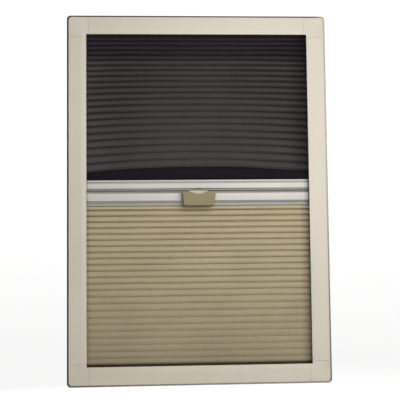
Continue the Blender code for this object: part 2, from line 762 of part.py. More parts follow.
def build_glides(prefix, top, height, hollow_span):
    """An end piece for each end of a bar: tenon, neck and a shoe that slides in the side rail."""
    tenon_top = top - hollow_span[0] - FIT
    tenon_foot = top - hollow_span[1] + FIT
    mid = (tenon_top + tenon_foot) / 2
    foot = top - height
    for side, sx in (("left", -1), ("right", 1)):
        name = f"{prefix}_glide_{side}"
        outer = CHANNEL_X - RUNNING
        corners = [(SHOE_INNER, foot + FIT), (outer, foot + FIT), (outer, top - FIT), (SHOE_INNER, top - FIT)]
        plan = [(sx * x, z) for x, z in rounded(corners, [SHOE_ROUNDING] * 4)]
        front = FACE_Y + RAIL_WALL + RUNNING
        glide = extruded(name, [plan], "Y", front, FACE_Y + BACK - RAIL_WALL - RUNNING, grey_plastic())
        xs = sorted((sx * (BAR_HALF + FIT), sx * (SHOE_INNER + 0.002)))
        neck = box(
            name + "_neck", (xs[0], FACE_Y + GLIDE_NECK_FRONT, tenon_foot - 0.001),
            (xs[1], FACE_Y + GLIDE_NECK_FRONT + GLIDE_NECK_DEPTH, tenon_top + 0.001), cutter=True,
        )
        combine(glide, neck, "UNION")
        xs = sorted((sx * (BAR_HALF - GLIDE_TENON), sx * (BAR_HALF + 0.002)))
        tenon = box(
            name + "_tenon", (xs[0], FACE_Y + BAR_FRONT + BAR_WALL + FIT, tenon_foot),
            (xs[1], FACE_Y + BAR_BACK - BAR_WALL - FIT, tenon_top), cutter=True,
        )
        combine(glide, tenon, "UNION")
        for k, setback in enumerate(CORD_SETBACKS):
            down = rod(
                f"{name}_cord_way_{k}", "Z", (sx * CORD_X, FACE_Y + setback, (top + foot) / 2),
                CORD_HOLE, height * 1.5, cutter=True, sides=12,
            )
            combine(glide, down, "DIFFERENCE")
            xs = sorted((sx * (BAR_HALF - GLIDE_TENON - 0.001), sx * CORD_X))
            across = rod(
                f"{name}_cross_way_{k}", "X", ((xs[0] + xs[1]) / 2, FACE_Y + setback, mid),
                CROSS_HOLE, xs[1] - xs[0], cutter=True, sides=12,
            )
            combine(glide, across, "DIFFERENCE")
    reach = CORD_X - CORD_HOLE
    for label, setback in zip(("front", "rear"), CORD_SETBACKS):
        y = FACE_Y + setback
        points = [(-reach, y, mid), (0, y, mid), (reach, y, mid)]
        wire(f"{prefix}_cross_cord_{label}", points, CORD_RADIUS, cord_fibre())


def spring_points(x, y, top):
    """A close coil with a hook at its foot that goes round the peg."""
    points = []
    loop = PEG_RADIUS + FIT + SPRING_WIRE + 0.0001
    for k in range(11):
        angle = math.radians(-150 + 240 * k / 10)
        points.append((x + loop * math.cos(angle), y, PEG_Z + loop * math.sin(angle)))
    foot = top - SPRING_LEAD - SPRING_LENGTH
    count = SPRING_TURNS * 8
    for k in range(count + 1):
        angle = math.pi / 2 + 2 * math.pi * k / 8
        z = foot + SPRING_LENGTH * k / count
        points.append((x + SPRING_RADIUS * math.cos(angle), y + SPRING_RADIUS * math.sin(angle), z))
    points.append((x, y, top - SPRING_LEAD / 2))
    points.append((x, y, top))
    return points


def build_cords():
    loop_top = PEG_Z + PEG_RADIUS + FIT + 2 * SPRING_WIRE
    spring_top = loop_top + 0.001 + SPRING_LENGTH + SPRING_LEAD
    for side, sx in (("left", -1), ("right", 1)):
        for label, setback in zip(("front", "rear"), CORD_SETBACKS):
            x, y = sx * CORD_X, FACE_Y + setback
            low, high = spring_top + FIT, SHELF_Z
            points = [(x, y, low + (high - low) * k / 2) for k in range(3)]
            wire(f"cord_{side}_{label}", points, CORD_RADIUS, cord_fibre())
            wire(f"cord_spring_{side}_{label}", spring_points(x, y, spring_top), SPRING_WIRE, spring_steel(), 1)
            rod(
                f"cord_stop_{side}_{label}", "Z", (x, y, SHELF_Z + FIT + STOP_HEIGHT / 2),
                STOP_RADIUS, STOP_HEIGHT, grey_plastic(), sides=12,
            )


def build_handle():
    corners = [
        (-HANDLE_TOP_HALF, HANDLE_TOP), (HANDLE_TOP_HALF, HANDLE_TOP),
        (HANDLE_FOOT_HALF, HANDLE_FOOT), (-HANDLE_FOOT_HALF, HANDLE_FOOT),
    ]
    radii = [HANDLE_TOP_ROUNDING, HANDLE_TOP_ROUNDING, HANDLE_ROUNDING, HANDLE_ROUNDING]
    plan = rounded(corners, radii, 5)
    handle = extruded(
        "handle", [plan], "Y", FACE_Y - HANDLE_PROUD, FACE_Y + HANDLE_BACK, olive(), edge=HANDLE_EDGE,
    )
    rib = box(
        "handle_rib", (-RIB_HALF, FACE_Y - HANDLE_PROUD - RIB_PROUD, HANDLE_FOOT + RIB_UP),
        (RIB_HALF, FACE_Y - HANDLE_PROUD + RIB_PROUD, HANDLE_FOOT + RIB_UP + RIB_HEIGHT), cutter=True,
    )
    combine(handle, rib, "DIFFERENCE")
    pocket_foot = BLIND_BAR_TOP - POCKET_DEPTH_Z
    above = HANDLE_TOP + 0.004
    corners = [
        (-POCKET_HALF, above), (POCKET_HALF, above), (POCKET_HALF, pocket_foot), (-POCKET_HALF, pocket_foot),
    ]
    plan = rounded(corners, [0, 0, HANDLE_ROUNDING, HANDLE_ROUNDING], 4)
    pocket = extruded(
        "handle_pocket", [plan], "Y", FACE_Y + POCKET_FRONT, FACE_Y + POCKET_BACK, cutter=True,
    )
    combine(handle, pocket, "DIFFERENCE")
    radius = (SCOOP_HALF ** 2 + SCOOP_DEPTH ** 2) / (2 * SCOOP_DEPTH)
    scoop = rod(
        "handle_scoop", "Y",
        (0, FACE_Y - HANDLE_PROUD + HANDLE_WALL / 2, HANDLE_TOP - SCOOP_DEPTH + radius),
        radius, HANDLE_WALL + 0.002, cutter=True, sides=64,
    )
    combine(handle, scoop, "DIFFERENCE")
    window = box(
        "latch_window", (-LATCH_HALF - 0.0004, FACE_Y + POCKET_BACK - 0.001, BLIND_BAR_TOP - LATCH_WINDOW_DROP),
        (LATCH_HALF + 0.0004, FACE_Y + HANDLE_BACK + 0.001, above), cutter=True,
    )
    combine(handle, window, "DIFFERENCE")
    core = box(
        "handle_core",
        (-CORE_HALF, FACE_Y + POCKET_FRONT, HANDLE_FOOT + CORE_MARGIN),
        (CORE_HALF, FACE_Y + HANDLE_BACK + 0.001, pocket_foot - CORE_MARGIN), cutter=True,
    )
    combine(handle, core, "DIFFERENCE")
    pin_way = rod(
        "pin_way", "X", (0, PIVOT_Y, PIVOT_Z), PIN_RADIUS + FIT, 2 * (PIN_HALF + FIT), cutter=True, sides=12,
    )
    combine(handle, pin_way, "DIFFERENCE")
    return handle


def build_handle_screws(bar, handle):
    z = BLIND_BAR_TOP - HANDLE_SCREW_DROP
    for side, sx in (("left", -1), ("right", 1)):
        x = sx * HANDLE_SCREW_X
        head_y = FACE_Y + BAR_FRONT + BAR_WALL + FIT
        front = head_y - HANDLE_SCREW_LENGTH
        way = rod(
            f"handle_screw_way_{side}", "Y", (x, (front + head_y) / 2 + 0.001, z),
            HANDLE_SCREW_SHANK + FIT, HANDLE_SCREW_LENGTH + 0.0026, cutter=True, sides=12,
        )
        combine(handle, way, "DIFFERENCE")
        combine(bar, way, "DIFFERENCE")
        access = rod(
            f"screw_access_{side}", "Y", (x, FACE_Y + BAR_BACK - BAR_WALL / 2, z), SCREW_ACCESS,
            BAR_WALL * 2, cutter=True, sides=16,
        )
        combine(bar, access, "DIFFERENCE")
        high = HANDLE_SCREW_HEAD_HEIGHT
        profile = [
            (0, high), (HANDLE_SCREW_HEAD * 0.7, high), (HANDLE_SCREW_HEAD, high * 0.5), (HANDLE_SCREW_HEAD, 0),
            (HANDLE_SCREW_SHANK, 0), (HANDLE_SCREW_SHANK, -HANDLE_SCREW_LENGTH + HANDLE_SCREW_SHANK),
            (0, -HANDLE_SCREW_LENGTH),
        ]
        place = Matrix.Translation((x, head_y, z)) @ Matrix.Rotation(-math.pi / 2, 4, "X")
        turned(f"handle_screw_{side}", profile, place, spring_steel(), 12)


def build_latch():
    """A tab that turns on a pin. Its nose reaches over the catch lip at the foot of the upper bar."""
    front = LATCH_PLATE_SETBACK
    back = LATCH_PLATE_SETBACK + LATCH_THICKNESS
    nose_tip = BAR_FRONT + CATCH_SETBACK + LATCH_REACH
    rise = BARS_GAP + CATCH_LIP + FIT + LATCH_NOSE
    pad_top = -LATCH_PAD_TOP
    pad_low = pad_top - LATCH_PAD_HEIGHT
    tail = -LATCH_PIVOT_DROP - LATCH_TAIL
    points = [
        (front, tail), (front, pad_low), (front - LATCH_PAD_REACH, pad_low + 0.0012),
        (front - LATCH_PAD_REACH, pad_top), (front, pad_top + 0.0008), (front, rise),
        (nose_tip, rise), (nose_tip, rise - LATCH_NOSE), (back, rise - LATCH_NOSE), (back, tail),
    ]
    radii = [0, 0.0006, 0.0006, 0.0008, 0.0006, 0.0005, 0.0005, 0, 0, 0]
    outline = [(FACE_Y + v, BLIND_BAR_TOP + z) for v, z in rounded(points, radii, 2)]
    latch = extruded("latch_tab", [outline], "X", -LATCH_HALF, LATCH_HALF, pale_plastic())
    pivot = (0, PIVOT_Y, PIVOT_Z)
    knuckle = rod("latch_knuckle", "X", pivot, LATCH_KNUCKLE, 2 * LATCH_HALF - 0.0002, cutter=True)
    combine(latch, knuckle, "UNION")
    notch = box(
        "latch_notch", (-COIL_HALF - 0.0008, FACE_Y + back, PIVOT_Z - LATCH_TAIL - 0.002),
        (COIL_HALF + 0.0008, FACE_Y + BAR_FRONT, PIVOT_Z + LATCH_KNUCKLE + FIT), cutter=True,
    )
    combine(latch, notch, "DIFFERENCE")
    for side, sx in (("left", -1), ("right", 1)):
        xs = sorted((sx * LATCH_NOSE_HALF, sx * (LATCH_HALF + 0.001)))
        trim = box(
            f"latch_trim_{side}", (xs[0], FACE_Y + front - 0.001, HANDLE_TOP + 0.0001),
            (xs[1], FACE_Y + nose_tip + 0.001, BLIND_BAR_TOP + rise + 0.001), cutter=True,
        )
        combine(latch, trim, "DIFFERENCE")
    way = rod("latch_pin_way", "X", pivot, PIN_RADIUS + FIT, 4 * LATCH_HALF, cutter=True, sides=12)
    combine(latch, way, "DIFFERENCE")
    rod("latch_pin", "X", pivot, PIN_RADIUS, 2 * PIN_HALF, spring_steel(), sides=12)
    radius = PIN_RADIUS + FIT + COIL_WIRE
    points = []
    count = COIL_TURNS * 10
    for k in range(count + 1):
        angle = 2 * math.pi * k / 10
        x = -COIL_HALF + 2 * COIL_HALF * k / count
        points.append((x, PIVOT_Y + radius * math.cos(angle), PIVOT_Z + radius * math.sin(angle)))
    points.insert(0, (-COIL_HALF, PIVOT_Y + radius, BLIND_BAR_TOP - LATCH_WINDOW_DROP + FIT))
    wire("latch_spring", points, COIL_WIRE, spring_steel(), 1)
    hub = bpy.data.objects.new("latch_axis", None)
    hub.location = (0, PIVOT_Y, PIVOT_Z)
    hub.empty_display_size = 0.01
    bpy.data.collections[COLLECTION].objects.link(hub)
    bpy.context.view_layer.update()
    placed = latch.matrix_world.copy()
    latch.parent = hub
    latch.matrix_parent_inverse = Matrix.Translation(hub.location).inverted()
    latch.matrix_world = placed


def main():
    clear_scene()
    build_frame()
    build_seals()
    build_fabrics()
    build_pile_strips()
    screen = screen_bar_outline()
    blind = blind_bar_outline()
    build_bar("screen_bar", SCREEN_BAR_TOP, screen)
    bar = build_bar("blind_bar", BLIND_BAR_TOP, blind)
    build_glides("screen", SCREEN_BAR_TOP, SCREEN_BAR_HEIGHT, screen[3])
    build_glides("blind", BLIND_BAR_TOP, BLIND_BAR_HEIGHT, blind[3])
    build_cords()
    handle = build_handle()
    build_handle_screws(bar, handle)
    build_latch()


main()
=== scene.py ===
"""A roof window cassette: pleated insect net above, pleated shade below, two latched bars between."""

import json
import math

import bpy
from mathutils import Euler, Matrix, Vector, noise


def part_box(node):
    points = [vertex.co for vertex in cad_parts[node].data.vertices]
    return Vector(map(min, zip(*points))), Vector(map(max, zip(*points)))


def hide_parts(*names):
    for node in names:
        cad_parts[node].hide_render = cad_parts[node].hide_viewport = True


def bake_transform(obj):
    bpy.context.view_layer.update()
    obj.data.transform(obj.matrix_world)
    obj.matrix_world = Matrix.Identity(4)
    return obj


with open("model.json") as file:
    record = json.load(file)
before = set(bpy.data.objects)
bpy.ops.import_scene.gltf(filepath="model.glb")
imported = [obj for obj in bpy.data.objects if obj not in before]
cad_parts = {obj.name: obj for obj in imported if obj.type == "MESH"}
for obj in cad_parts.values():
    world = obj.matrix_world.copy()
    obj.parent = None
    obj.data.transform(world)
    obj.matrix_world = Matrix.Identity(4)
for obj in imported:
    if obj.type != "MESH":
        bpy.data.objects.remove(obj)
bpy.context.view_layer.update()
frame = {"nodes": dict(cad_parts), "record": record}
SCENE = bpy.context.scene

# Camera, at the photograph's angle
CAMERA_PLACE = (-0.0780, -1.5490, -0.1076)
CAMERA_TILT = 0.0667
CAMERA_TURN = -0.0522
CAMERA_ROLL = -0.0111
CAMERA_LENS = 72.0
CAMERA_SENSOR = 36.0
CAMERA_CLIP = (0.01, 50.0)

# Light levels, colours and places
WHITE = (1.0, 1.0, 1.0, 1.0)
WARM = (1.0, 0.985, 0.96)
COOL = (0.97, 0.98, 1.0)
AMBIENT = 0.11
KEY_PLACE = (0.29, -1.04, 0.255)
KEY_SIZE = 1.00
KEY_POWER = 11.2
FILL_PLACE = (0.20, -1.00, -0.60)
FILL_SIZE = 0.6
FILL_POWER = 0.50
BACK_PLACE = (-0.45, 1.35, 0.45)
BACK_SIZE = 0.9
BACK_POWER = 15.0
STAGE_FLOOR = -0.62
STAGE_BACK = 3.40
STAGE_RADIUS = 0.90
STAGE_HALF = 6.0
STAGE_FRONT = -4.0
STAGE_TOP = 3.0
STAGE_STEPS = 12
FLOOR_GLOW = 0.86
BACKDROP_GLOW = 0.97

# Pleats of the net: the solid model's count, with pitches that grow and folds that flatten towards the foot
NET_PLEATS = 25
NET_GROWTH = 0.62
NET_DEPTHS = (0.0062, 0.0030)
NET_RIDGE = 0.68
NET_BELLY = 0.9
NET_UNDER_BELLY = 0.3
NET_THICKNESS = 0.00022

# How much fuller the net's folds stand in the middle and at the sides, below its flat head
NET_MIDDLE = 1.3
NET_SIDES = 4.6
NET_REACH = 0.0072
NET_HEAD_SHARE = 0.24
NET_SLACK = 0.0008
NET_SLACK_WIDTH = 0.11
NET_SLACK_PLACE = 0.72
NET_SLACK_SHARE = 0.22

# The net's low pleats hang down at the sides, over a dark hem
NET_BOW = 0.0115
NET_BOW_GROWTH = 1.2
NET_HEM = 0.0262
NET_HEM_LAP = 0.0003
NET_HEM_STEPS = 4

# Pleats of the shade: the photograph's count, which is one less than the solid model's
SHADE_PLEATS = 26
SHADE_GROWTH = 0.145
SHADE_LEAD = 0.0084
SHADE_DEPTHS = (0.0082, 0.0015)
SHADE_DEPTH_FALL = 0.68
SHADE_THICKNESS = 0.00032
SHADE_BELLY = 0.65
SHADE_LOW_BELLY = 0.50
SHADE_UNDER_BELLY = 0.35
SHADE_RIDGE = 0.64
SHADE_LOW_RIDGE = 0.52
SHADE_LOW_START = 0.45
SHADE_LOW_SPAN = 0.35

# How far the shade's low pleats sit below their even places, and between which of its pleats, as shares
SHADE_DROP = 0.0036
SHADE_DROP_START = 0.50
SHADE_DROP_RISE = 0.18
SHADE_DROP_END = 0.99
SHADE_DROP_FALL = 0.14

# Size and seed of the small waves in each fold line, and how fast they change along it and from fold to fold
NET_WAVES = {"valley": (0.0011, 6.0), "front": (0.0006, 12.0), "crest": (0.0012, 15.0)}
SHADE_WAVES = {"valley": (0.0007, 4.0), "front": (0.0004, 9.0), "crest": (0.0009, 2.0)}
WAVE_ALONG = 11.0
WAVE_STEP = 3.7

# Meshes of both cloths
COLUMNS = 64
LEG_ROWS = 7
SHORTEST_SHEET = 0.0101
FABRIC_SLOT = 0.0056

# Colours and threads of the cloths
NET_COLOUR = (0.098, 0.085, 0.0865)
HEM_COLOUR = (0.012, 0.0085, 0.012)
NET_THREAD = 0.0013
SHADE_COLOUR = (0.618, 0.530, 0.354)
SHADE_THREAD = 0.00055

# Painted shade and light on both cloths beside the rails, and painted shade low down and at the foot
NET_EDGES = {
    "right_tone": 0.40, "right_reach": 0.040, "left_tone": 1.30, "left_reach": 0.060, "low_tone": 1.0,
}
SHADE_EDGES = {
    "right_tone": 0.62, "right_reach": 0.018, "left_tone": 0.78, "left_reach": 0.007, "low_tone": 0.680,
}
CLOTH_EDGE = 0.2160
CLOTH_EDGE_DARK = 0.003
CLOTH_LOW = -0.02
CLOTH_FOOT = -0.3192
CLOTH_FOOT_REACH = 0.0045
CLOTH_FOOT_TONE = 0.12

# The net is dark at its head, and clears between these two lengths of cloth
NET_FADE = (0.114, 0.45)

# Painted shade on the bars: the tones of slopes, grooves, ends and lip, and where these lie
SOFT_STEP = 0.0006
BAR_SLOPE_TONE = 0.60
BAR_GROOVE_TONE = 0.42
BAR_END = 0.2165
BAR_END_REACH = 0.012
BAR_END_TONE = 0.36
BAR_LIP = -0.0104
BAR_LIP_TONE = 0.62
BAR_TOP_SLOPE = (0.0090, 0.0147)
BAR_CATCH_GROOVE = (0.0160, 0.0186)
BAR_CATCH_TONE = 0.60
GROOVE_REACH = 0.006

# Stripes of painted shade along the bars, and one of painted light where the loss is below zero: from one
# height to another, what they take off the tone, and how soft they are
BAR_PAINTED_SHADE_AND_LIGHT = (
    (0.0148, 0.0161, 0.58, 0.0002),
    (0.0104, 0.0135, -0.27, 0.0003),
    (0.0280, 0.0300, 0.20, 0.0002),
    (-0.0114, -0.0092, 0.36, 0.0002),
    (0.0186, 0.0215, 0.06, 0.0020),
    (-0.0046, 0.0030, 0.06, 0.0030),
)

# Where the seal turns paler at its right and foot: from where to where, and along these, from which share to
# which
SEAL_RIGHT = (0.236, 0.249)
SEAL_RIGHT_UP = (-0.36, 0.05, 0.12, 0.85)
SEAL_FOOT = (-0.350, -0.355)
SEAL_FOOT_ALONG = (-0.25, 0.0, 0.25, 0.75)

# Where the latch's nose begins, which is grey with painted shade
LATCH_NOSE_FOOT = 0.0142

# The wave texture takes its input times this as an angle
TEXTURE_RATE = 20.0


def make_camera():
    data = bpy.data.cameras.new("camera")
    data.lens = CAMERA_LENS
    data.sensor_width = CAMERA_SENSOR
    data.clip_start, data.clip_end = CAMERA_CLIP
    camera = bpy.data.objects.new("camera", data)
    SCENE.collection.objects.link(camera)
    aim = Euler((math.pi / 2 + CAMERA_TILT, 0.0, CAMERA_TURN)).to_matrix().to_4x4()
    camera.matrix_world = Matrix.Translation(CAMERA_PLACE) @ aim @ Matrix.Rotation(CAMERA_ROLL, 4, "Z")
    SCENE.camera = camera


class Look:
    """A procedural material, built up node by node."""

    def __init__(self, name, roughness, metallic=0.0, **more):
        self.material = bpy.data.materials.new(name)
        self.material.use_nodes = True
        self.tree = self.material.node_tree
        self.shader = self.tree.nodes["Principled BSDF"]
        values = {"Roughness": roughness, "Metallic": metallic, **more}
        for socket, value in values.items():
            self.shader.inputs[socket.replace("_", " ")].default_value = value

    def node(self, kind, inputs=(), **settings):
        made = self.tree.nodes.new(kind)
        for key, value in settings.items():
            setattr(made, key, value)
        for key, value in dict(inputs).items():
            if isinstance(value, bpy.types.NodeSocket):
                self.tree.links.new(value, made.inputs[key])
            else:
                made.inputs[key].default_value = value
        return made

    def coordinates(self, output="Object", scale=(1, 1, 1), turn=(0, 0, 0)):
        source = self.node("ShaderNodeTexCoord").outputs[output]
        made = self.node("ShaderNodeMapping", {"Vector": source, "Scale": scale, "Rotation": turn})
        return made.outputs[0]

    def noise(self, vector, scale, detail=3.0, rough=0.55):
        return self.node(
            "ShaderNodeTexNoise", {"Vector": vector, "Scale": scale, "Detail": detail, "Roughness": rough},
        ).outputs["Fac"]

    def ramp(self, factor, *stops):
        made = self.node("ShaderNodeValToRGB", {"Fac": factor})
        ends = made.color_ramp.elements
        while len(ends) < len(stops):
            ends.new(0.5)
        for element, (place, colour) in zip(ends, stops):
            element.position = place
            element.color = (*colour, 1.0)
        return made.outputs["Color"]

    def axes(self, vector):
        return self.node("ShaderNodeSeparateXYZ", {0: vector}).outputs

    def maths(self, operation, first, second, clamp=False):
        made = self.node("ShaderNodeMath", {0: first, 1: second}, operation=operation, use_clamp=clamp)
        return made.outputs[0]

    def product(self, first, *others):
        for other in others:
            first = self.maths("MULTIPLY", first, other)
        return first

    def span(self, value, low, high, to_low=0.0, to_high=1.0):
        return self.node(
            "ShaderNodeMapRange",
            {"Value": value, "From Min": low, "From Max": high, "To Min": to_low, "To Max": to_high},
        ).outputs["Result"]

    def band(self, value, low, high, inside, edge=0.0002):
        """The inside level where a value lies between two others, and nothing elsewhere."""
        rise = self.span(value, low - edge, low + edge, 0.0, inside)
        return self.product(rise, self.span(value, high - edge, high + edge, 1.0, 0.0))

    def mixed(self, factor, first, second, blend="MIX"):
        made = self.node("ShaderNodeMix", data_type="RGBA", blend_type=blend)
        for socket, value in ((made.inputs[0], factor), (made.inputs[6], first), (made.inputs[7], second)):
            if isinstance(value, bpy.types.NodeSocket):
                self.tree.links.new(value, socket)
            else:
                socket.default_value = value if isinstance(value, float) else (*value, 1.0)
        return made.outputs[2]

    def tinted(self, colour, tint):
        return self.mixed(1.0, colour, tint, "MULTIPLY")

    def toned(self, colour, level):
        """A colour made lighter or darker by a level."""
        grey = self.node("ShaderNodeCombineColor", {0: level, 1: level, 2: level})
        return self.tinted(colour, grey.outputs[0])

    def bump(self, height, distance, strength=1.0, normal=None):
        inputs = {"Height": height, "Distance": distance, "Strength": strength}
        if normal is not None:
            inputs["Normal"] = normal
        return self.node("ShaderNodeBump", inputs).outputs[0]

    def give(self, **outputs):
        for socket, value in outputs.items():
            self.tree.links.new(value, self.shader.inputs[socket.replace("_", " ")])
        return self.material


def scaled(colour, share):
    return tuple(channel * share for channel in colour)


def painted(name, colour, along):
    """Satin paint over drawn metal: faint lines along the rail, soft mottling and a fine skin."""
    look = Look(name, 0.40, Specular_IOR_Level=0.30)
    stretch = {"X": (1.0, 60.0, 60.0), "Z": (60.0, 60.0, 1.0)}[along]
    lines = look.noise(look.coordinates(scale=stretch), 12.0, 2.0)
    plain = look.coordinates()
    patches = look.noise(plain, 7.0, 4.0)
    skin = look.noise(plain, 950.0, 2.0)
    base = look.ramp(patches, (0.30, scaled(colour, 0.955)), (0.72, scaled(colour, 1.03)))
    fine = look.ramp(skin, (0.25, (0.965, 0.963, 0.955)), (0.75, (1.0, 1.0, 1.0)))
    normal = look.bump(lines, 0.00010, 0.35)
    normal = look.bump(skin, 0.00006, 0.5, normal)
    return look.give(
        Base_Color=look.tinted(base, fine),
        Roughness=look.span(patches, 0.3, 0.7, 0.34, 0.44),
        Normal=normal,
    )


def moulded(name, colour, roughness, grain=1400.0, depth=0.00005, speck=0.06, gloss=0.30):
    """Moulded plastic: fine spark grain, weak flow marks and small colour specks."""
    look = Look(name, roughness, Specular_IOR_Level=gloss)
    plain = look.coordinates()
    flow = look.noise(plain, 22.0, 3.0)
    fine = look.noise(plain, grain, 3.0, 0.7)
    base = look.ramp(flow, (0.3, scaled(colour, 0.94)), (0.7, scaled(colour, 1.05)))
    specks = look.ramp(fine, (0.3, (1 - speck,) * 3), (0.6, (1.0, 1.0, 1.0)))
    return look.give(
        Base_Color=look.tinted(base, specks),
        Roughness=look.span(fine, 0.3, 0.7, roughness - 0.06, roughness + 0.08),
        Normal=look.bump(fine, depth, 0.6),
    )


def anodised(name, colour):
    """Satin anodised metal drawn along X, with painted shade on its slopes, in its grooves, at its right end
    and low on its lip.
    """
    look = Look(name, 0.50, 0.14)
    streaks = look.noise(look.coordinates(scale=(0.6, 90.0, 90.0)), 14.0, 4.0, 0.6)
    clouds = look.noise(look.coordinates(), 11.0, 3.0)
    base = look.ramp(clouds, (0.3, scaled(colour, 0.95)), (0.7, scaled(colour, 1.03)))
    lines = look.ramp(streaks, (0.3, (0.95, 0.95, 0.945)), (0.7, (1.0, 1.0, 1.0)))
    # Painted shade: faces that turn up or down from the front are darker
    facing = look.axes(look.node("ShaderNodeNewGeometry").outputs["True Normal"])
    front = look.span(look.maths("ABSOLUTE", facing[1], 0.0), 0.80, 0.97, BAR_SLOPE_TONE, 1.0)
    # Painted shade in the grooves, from how closed in each point is, lifted on the top slope and in part in
    # the catch groove
    cavity = look.node(
        "ShaderNodeAmbientOcclusion", {"Distance": GROOVE_REACH}, samples=8, only_local=False,
    ).outputs["AO"]
    groove_painted_shade = look.span(cavity, 0.35, 0.95, BAR_GROOVE_TONE, 1.0)
    along = look.axes(look.coordinates())
    groove_painted_shade = look.maths("MAXIMUM", groove_painted_shade, look.band(along[2], *BAR_TOP_SLOPE, 1.0))
    groove_painted_shade = look.maths("MAXIMUM", groove_painted_shade, look.band(along[2], *BAR_CATCH_GROOVE, BAR_CATCH_TONE))
    # Painted shade at the right end of the bars and low on the lip
    end_painted_shade = look.span(along[0], BAR_END - BAR_END_REACH, BAR_END, 1.0, BAR_END_TONE)
    lip_painted_shade = look.span(along[2], BAR_LIP - SOFT_STEP, BAR_LIP, BAR_LIP_TONE, 1.0)
    tone = look.product(look.product(front, groove_painted_shade), look.product(end_painted_shade, lip_painted_shade))
    # Stripes of painted shade, and one of painted light, along the bars
    for low, high, loss, edge in BAR_PAINTED_SHADE_AND_LIGHT:
        tone = look.product(tone, look.maths("SUBTRACT", 1.0, look.band(along[2], low, high, loss, edge)))
    return look.give(
        Base_Color=look.toned(look.tinted(base, lines), tone),
        Roughness=look.span(streaks, 0.3, 0.7, 0.45, 0.56),
        Normal=look.bump(streaks, 0.00004, 0.5),
    )


def steel(name, colour):
    look = Look(name, 0.30, 1.0)
    fine = look.noise(look.coordinates(), 1600.0, 3.0)
    marks = look.noise(look.coordinates(scale=(1, 1, 5)), 260.0, 2.0)
    return look.give(
        Base_Color=look.ramp(marks, (0.3, scaled(colour, 0.86)), (0.7, colour)),
        Roughness=look.span(fine, 0.3, 0.7, 0.24, 0.42),
        Normal=look.bump(marks, 0.00003, 0.4),
    )


def foam(name, colour, pale_colour):
    """Closed-cell foam rubber with small pits, paler along the right side and the foot."""
    look = Look(name, 0.86)
    plain = look.coordinates()
    along = look.axes(plain)
    right = look.product(look.span(along[0], *SEAL_RIGHT), look.span(along[2], *SEAL_RIGHT_UP))
    foot = look.product(look.span(along[2], *SEAL_FOOT), look.span(along[0], *SEAL_FOOT_ALONG))
    pale_share = look.maths("MAXIMUM", right, foot)
    cells = look.node("ShaderNodeTexVoronoi", {"Vector": plain, "Scale": 1100.0}).outputs["Distance"]
    clouds = look.noise(plain, 60.0, 3.0)
    dark = look.ramp(clouds, (0.3, scaled(colour, 0.8)), (0.7, scaled(colour, 1.25)))
    pale = look.ramp(clouds, (0.3, scaled(pale_colour, 0.9)), (0.7, scaled(pale_colour, 1.1)))
    return look.give(
        Base_Color=look.mixed(pale_share, dark, pale),
        Roughness=look.span(cells, 0.0, 0.7, 0.78, 0.93),
        Normal=look.bump(cells, 0.00018, 0.7),
    )


def pile(name, colour):
    """Short brushed fibres standing out of a backing."""
    look = Look(name, 0.95, 0.0, Sheen_Weight=0.35, Sheen_Roughness=0.5)
    fibres = look.noise(look.coordinates(scale=(1.0, 1.0, 0.35)), 2600.0, 3.0, 0.7)
    tufts = look.noise(look.coordinates(), 180.0, 2.0)
    return look.give(
        Base_Color=look.ramp(fibres, (0.3, scaled(colour, 0.55)), (0.7, scaled(colour, 1.3))),
        Normal=look.bump(fibres, 0.0003, 0.8, look.bump(tufts, 0.0004, 0.5)),
    )


def braided(name, colour):
    """Braided cord: two sets of strands that cross."""
    look = Look(name, 0.8, 0.0, Sheen_Weight=0.2, Sheen_Roughness=0.5)
    waves = [
        look.node(
            "ShaderNodeTexWave", {"Vector": look.coordinates(turn=(0.0, turn, turn)), "Scale": 420.0},
        ).outputs["Fac"] for turn in (0.75, -0.75)
    ]
    strands = look.maths("MAXIMUM", *waves)
    return look.give(
        Base_Color=look.ramp(strands, (0.3, scaled(colour, 0.6)), (0.9, scaled(colour, 1.05))),
        Normal=look.bump(strands, 0.00015, 0.8),
    )


def woven(name, colour, thread, shading, sheen, roughness):
    """Cloth whose threads cross in the sheet's own flat measure, so that they follow each fold."""
    look = Look(name, roughness, 0.0, Sheen_Weight=sheen, Sheen_Roughness=0.45, Specular_IOR_Level=0.12)
    turns = 2 * math.pi / (thread * TEXTURE_RATE)
    waves = []
    for axis in ("X", "Y"):
        waves.append(look.node(
            "ShaderNodeTexWave", {"Vector": look.coordinates("UV"), "Scale": turns, "Distortion": 0.6},
            bands_direction=axis,
        ).outputs["Fac"])
    threads = look.product(*waves)
    slub = look.noise(look.coordinates("UV", (18.0, 260.0, 1.0)), 4.0, 3.0)
    stain = look.noise(look.coordinates("UV"), 9.0, 4.0)
    base = look.ramp(stain, (0.28, scaled(colour, 0.93)), (0.74, scaled(colour, 1.06)))
    weave = look.ramp(threads, (0.10, (1 - shading,) * 3), (0.65, (1.0, 1.0, 1.0)))
    slubs = look.ramp(slub, (0.3, (0.955, 0.95, 0.94)), (0.7, (1.0, 1.0, 1.0)))
    tone = look.tinted(look.tinted(base, weave), slubs)
    return look, tone, look.bump(threads, 0.00012, 0.6, look.bump(slub, 0.00025, 0.35))


